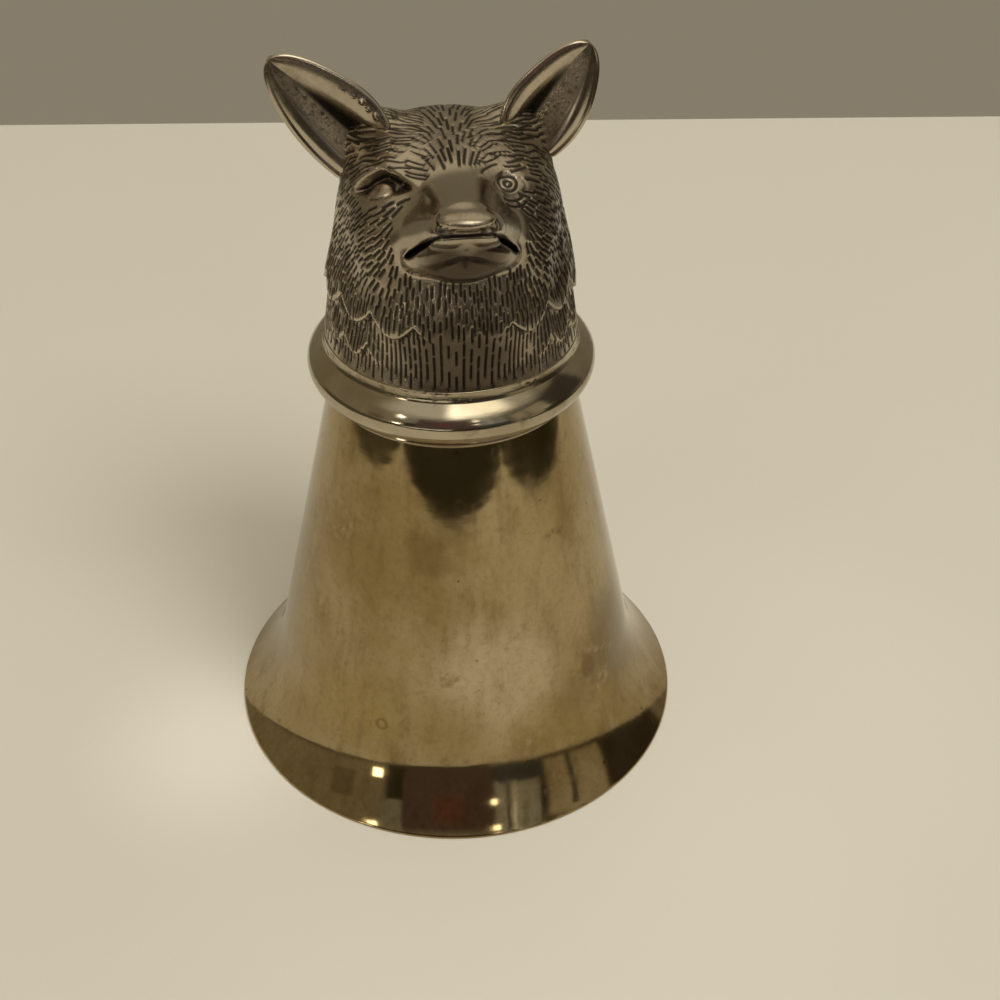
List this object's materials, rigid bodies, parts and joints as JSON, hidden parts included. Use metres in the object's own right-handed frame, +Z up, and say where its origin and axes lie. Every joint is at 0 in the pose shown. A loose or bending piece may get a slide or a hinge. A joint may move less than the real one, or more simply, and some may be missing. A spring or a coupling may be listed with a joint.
{
  "type": "stirrup cup",
  "caption": "Bell-shaped drinking cup that stands mouth down on its flared lip, with a hollow cast fox head and scooped ears over its closed end.",
  "frame": {"origin": "centre of the lip's plane, where the cup stands when it is put down", "axes": "+Z up the cup's axis from the lip to the crown, -Y the way the fox looks, +X to the right of someone who faces the fox"},
  "size_m": [0.067, 0.067, 0.1019],
  "materials": {
    "spun_silver": "polished spun silver, warm with tarnish and fine scratches",
    "cast_silver": "chased cast silver, dark in the engraved strokes and bright on the worn high spots",
    "ring_silver": "polished drawn silver",
    "silver_solder": "filed hard solder, a little darker than the silver"
  },
  "bodies": {
    "root": {"cup_shell": "spun_silver", "collar_ring": "ring_silver", "cup_solder": "silver_solder", "neck_solder": "silver_solder", "head_casting": "cast_silver", "left_ear": "cast_silver", "right_ear": "cast_silver"}
  },
  "joints": []
}
